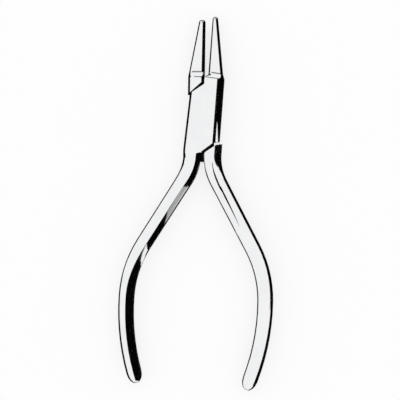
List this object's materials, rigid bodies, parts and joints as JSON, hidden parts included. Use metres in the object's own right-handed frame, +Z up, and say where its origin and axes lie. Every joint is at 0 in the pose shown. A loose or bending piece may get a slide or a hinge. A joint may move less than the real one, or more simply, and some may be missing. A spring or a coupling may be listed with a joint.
{
  "type": "collar pliers",
  "caption": "Dental collar pliers with slim flat jaws, a box joint on a flush pivot pin and two bowed handles.",
  "frame": {"origin": "on the pivot's axis, level with the flat underside of the box, with the pliers lying flat", "axes": "+Y along the pliers toward the jaws' tips, midway between the halves; +X across, toward the jaw of the half that holds the slot; +Z up, along the pivot"},
  "size_m": [0.058, 0.1392, 0.009],
  "materials": {
    "box_half_steel": "polished stainless steel with a fine satin grain",
    "tongue_half_steel": "polished stainless steel with a fine satin grain",
    "pivot_pin_steel": "stainless steel, ground flush and polished with the box"
  },
  "bodies": {
    "box_half": {"box_half": "box_half_steel", "pivot_pin": "pivot_pin_steel"},
    "tongue_half": {"tongue_half": "tongue_half_steel"}
  },
  "joints": [
    {"name": "jaw_pivot", "type": "hinge", "parent": "box_half", "child": "tongue_half", "pos_m": [0, 0, 0.0045], "axis": [0, 0, 1], "range_deg": [-3.6, 28]}
  ]
}
